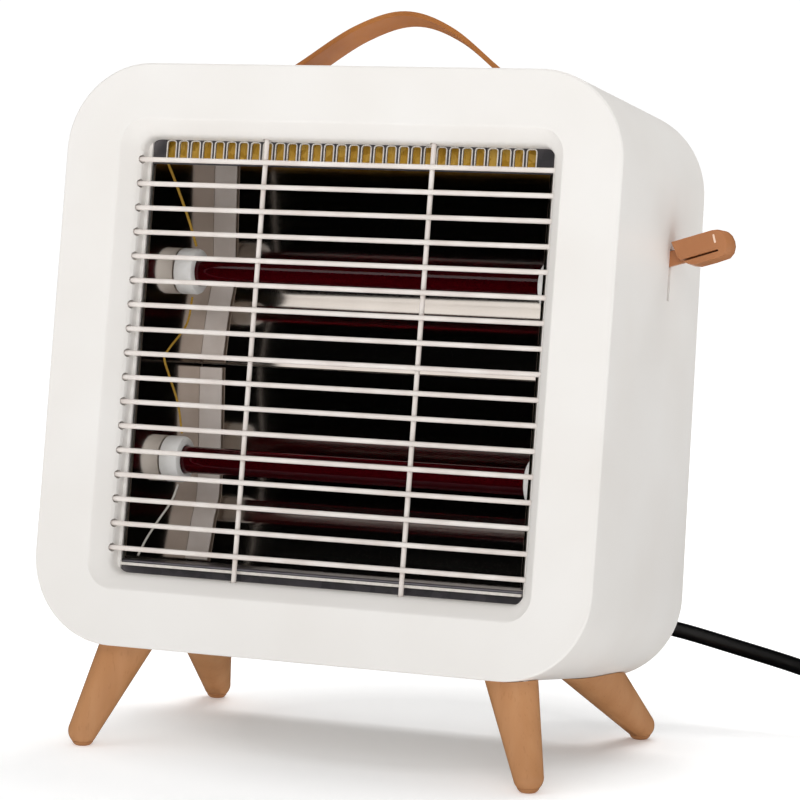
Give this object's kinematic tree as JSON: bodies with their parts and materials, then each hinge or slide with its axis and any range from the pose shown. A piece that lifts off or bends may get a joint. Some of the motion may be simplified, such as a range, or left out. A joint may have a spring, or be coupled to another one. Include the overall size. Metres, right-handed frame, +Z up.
{
  "type": "infrared heater",
  "caption": "Portable quartz infrared heater: square white housing leaning back on turned wooden legs, wire guard over ruby tubes and polished reflectors, side lever, carrying strap.",
  "frame": {"origin": "on the floor, at the bottom centre of the box round the heater without its lead", "axes": "+Z up from the floor, +Y from the guard to the back cover, +X towards the side with the selector lever"},
  "size_m": [0.5611, 0.2347, 0.3553],
  "materials": {
    "shell": "satin warm white moulding",
    "guard_wire": "smooth cream enamel on steel wire",
    "bright_sheet": "bright galvanised sheet",
    "mirror_sheet": "mirror-polished sheet",
    "mica": "golden insulating board",
    "ruby_quartz": "clear ruby quartz",
    "filament": "dark oxidised resistance wire",
    "ceramic": "unglazed white",
    "plated_steel": "zinc plated",
    "yellow_sleeve": "woven glass sleeve",
    "white_sleeve": "matt silicone sleeve",
    "tan_plastic": "fine matt",
    "leg_wood": "satin clear lacquer",
    "pad_rubber": "matt",
    "strap_leather": "smooth tan face",
    "black_plastic": "fine matt",
    "black_cable": "smooth matt"
  },
  "bodies": {
    "heater": {"front_housing": "shell", "wire_guard": "guard_wire", "slotted_top_plate": "bright_sheet", "floor_plate": "bright_sheet", "mica_board": "mica", "upper_reflector": "mirror_sheet", "lower_reflector": "mirror_sheet", "left_end_cheek": "mirror_sheet", "right_end_cheek": "mirror_sheet", "upper_quartz_tube": "ruby_quartz", "upper_filament": "filament", "upper_left_cap": "ceramic", "upper_left_clip": "plated_steel", "upper_right_cap": "ceramic", "upper_right_clip": "plated_steel", "lower_quartz_tube": "ruby_quartz", "lower_filament": "filament", "lower_left_cap": "ceramic", "lower_left_clip": "plated_steel", "lower_right_cap": "ceramic", "lower_right_clip": "plated_steel", "top_lead": "yellow_sleeve", "link_lead": "yellow_sleeve", "floor_lead": "white_sleeve", "lever_pin": "plated_steel", "lever_bracket": "plated_steel", "selector_switch": "black_plastic", "tilt_switch_case": "black_plastic", "tilt_switch_pin": "plated_steel", "tilt_microswitch": "black_plastic", "thermal_cutout": "black_plastic", "terminal_block": "ceramic", "handle_strap": "strap_leather", "left_strap_pin": "plated_steel", "right_strap_pin": "plated_steel", "back_cover": "shell", "cover_screw_1": "plated_steel", "cover_screw_2": "plated_steel", "cover_screw_3": "plated_steel", "cover_screw_4": "plated_steel", "cord_gland": "black_plastic", "front_left_leg": "leg_wood", "front_left_leg_bolt": "plated_steel", "front_left_foot_pad": "pad_rubber", "front_right_leg": "leg_wood", "front_right_leg_bolt": "plated_steel", "front_right_foot_pad": "pad_rubber", "back_left_leg": "leg_wood", "back_left_leg_bolt": "plated_steel", "back_left_foot_pad": "pad_rubber", "back_right_leg": "leg_wood", "back_right_leg_bolt": "plated_steel", "back_right_foot_pad": "pad_rubber", "cord": "black_cable", "cord_coil": "black_cable", "cord_tie": "black_plastic", "mains_plug": "black_cable"},
    "lever": {"selector_lever": "tan_plastic"},
    "pendulum": {"tilt_switch_pendulum": "plated_steel"}
  },
  "joints": [
    {"name": "lever_turn", "type": "hinge", "parent": "heater", "child": "lever", "pos_m": [0.09915, 0.0191, 0.23129], "axis": [0, 0.9925, -0.1219], "range_deg": [0, 34]},
    {"name": "pendulum_swing", "type": "hinge", "parent": "heater", "child": "pendulum", "pos_m": [-0.05585, 0.03034, 0.07254], "axis": [1, 0, 0], "range_deg": [-30, 30]}
  ]
}
